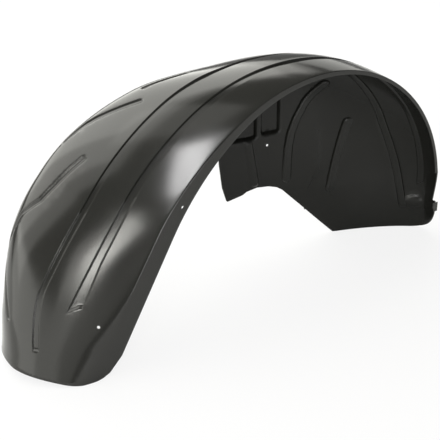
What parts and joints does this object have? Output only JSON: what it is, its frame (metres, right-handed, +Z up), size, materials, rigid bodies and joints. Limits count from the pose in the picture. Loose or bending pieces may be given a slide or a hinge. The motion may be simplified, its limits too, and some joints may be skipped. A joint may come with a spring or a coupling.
{
  "type": "wheel arch liner",
  "caption": "Moulded black plastic wheel arch liner: a barrel-shaped arch over the wheel with pressed grooves, a rim flange and an inner wall cut away for the hub.",
  "frame": {"origin": "floor point under the middle of the liner's box, as it stands on its toe and its rear edge", "axes": "+Z up, -X to the front of the car, -Y outboard to the fender side"},
  "size_m": [0.9394, 0.2662, 0.4619],
  "materials": {
    "liner": "black moulded plastic with a soft satin sheen"
  },
  "bodies": {
    "root": {"arch_liner": "liner"}
  },
  "joints": []
}
